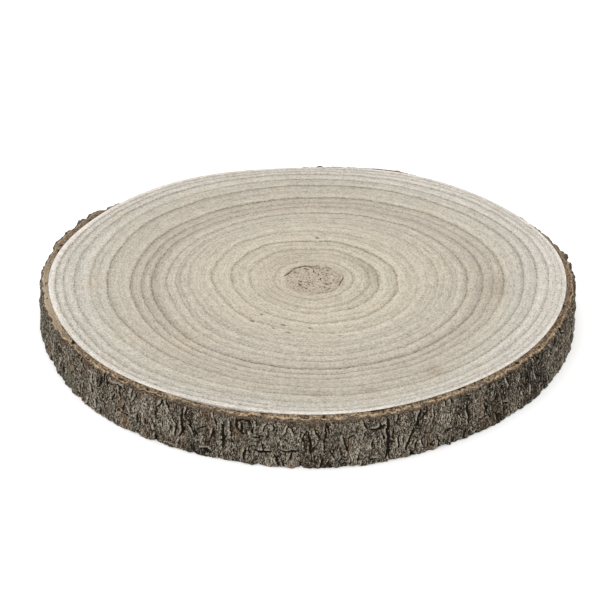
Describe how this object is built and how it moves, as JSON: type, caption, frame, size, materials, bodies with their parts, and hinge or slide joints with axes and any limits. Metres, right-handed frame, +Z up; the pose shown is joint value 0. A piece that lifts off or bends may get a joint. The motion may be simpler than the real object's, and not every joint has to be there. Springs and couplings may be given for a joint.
{
  "type": "wood slice",
  "caption": "Round slice sawn across a young trunk, with growth rings, a soft pith patch and its furrowed bark left on, for standing things on.",
  "frame": {"origin": "on the trunk's axis, in the flat face that the slice rests on", "axes": "+Z up through the slice's thickness, +X along its widest diameter, +Y away from the side that faces the viewer"},
  "size_m": [0.3099, 0.2939, 0.0295],
  "materials": {
    "sawn_wood": "sawn and sanded, unsealed, matte",
    "bark": "rough furrowed bark, matte"
  },
  "bodies": {
    "root": {"wood_disc": "sawn_wood", "bark_ring": "bark"}
  },
  "joints": []
}
